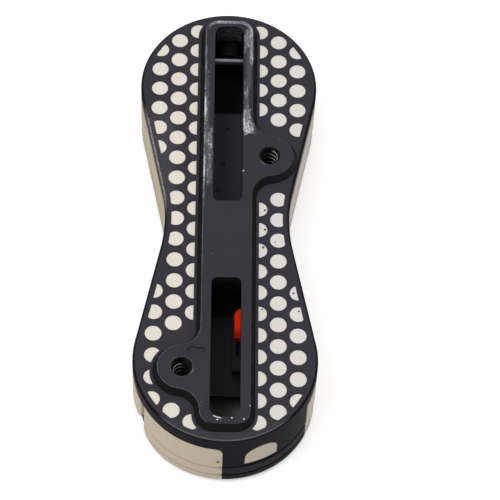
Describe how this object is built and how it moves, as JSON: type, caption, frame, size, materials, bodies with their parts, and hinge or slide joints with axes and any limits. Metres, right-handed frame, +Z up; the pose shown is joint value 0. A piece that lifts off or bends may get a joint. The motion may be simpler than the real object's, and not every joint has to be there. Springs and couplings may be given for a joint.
{
  "type": "sewing machine foot pedal",
  "caption": "Foot speed controller for a sewing machine: waisted housing with a spined, rubber-dotted base and a sprung hinged tread.",
  "frame": {"origin": "centre of the bounding box at its bottom, on the outer face of the tread", "axes": "+Z up out of the base plate (the pedal lies on its tread), +Y towards the hinge and cord end, +X across the pedal"},
  "size_m": [0.066, 0.183, 0.0355],
  "materials": {
    "base_paint": "die cast aluminium under black satin paint, worn to bare metal on raised edges",
    "grip_rubber": "off-white soft rubber, slightly soiled",
    "band_rubber": "cream soft rubber, satin",
    "dark_plastic": "black moulded plastic, fine texture",
    "zinc_steel": "zinc plated steel",
    "rod_steel": "ground bright steel",
    "spring_steel": "spring steel",
    "black_rubber": "black rubber, matt",
    "board_laminate": "dark green board lacquer",
    "chip_black": "moulded epoxy",
    "tread_rubber": "cream soft rubber, grooved",
    "yoke_paint": "pressed steel under black paint",
    "bronze": "sintered bronze",
    "magnet_nickel": "nickel plate",
    "knob_orange": "orange-red moulded plastic"
  },
  "bodies": {
    "base": {"base_shell": "base_paint", "grip_pad_left": "grip_rubber", "grip_pad_right": "grip_rubber", "side_band": "band_rubber", "end_grip": "band_rubber", "window_inlay": "band_rubber", "middle_ring": "dark_plastic", "middle_trim": "band_rubber", "bezel_ring": "dark_plastic", "bezel_trim": "band_rubber", "case_screws": "zinc_steel", "hinge_rod": "rod_steel", "rod_clips": "spring_steel", "stop_bumpers": "black_rubber", "return_spring_far": "spring_steel", "return_spring_near": "spring_steel", "circuit_board": "board_laminate", "board_screws": "zinc_steel", "position_sensor": "chip_black", "range_switch": "dark_plastic", "cord_socket": "dark_plastic", "socket_nut": "zinc_steel"},
    "treadle": {"tread_frame": "dark_plastic", "tread_pad": "tread_rubber", "hinge_yoke": "yoke_paint", "yoke_screws": "zinc_steel", "hinge_bushes": "bronze", "sensor_magnet": "magnet_nickel"},
    "range_slider": {"range_knob": "knob_orange"}
  },
  "joints": [
    {"name": "treadle_hinge", "type": "hinge", "parent": "base", "child": "treadle", "pos_m": [0, 0.074, 0.0252], "axis": [-1, 0, 0], "range_deg": [0, 3.5], "stiffness_Nm_per_rad": 20, "springref_deg": -1.43, "deforming": ["return_spring_far", "return_spring_near"]},
    {"name": "range_slide", "type": "slide", "parent": "base", "child": "range_slider", "axis": [0, -1, 0], "range_m": [0, 0.01]}
  ]
}
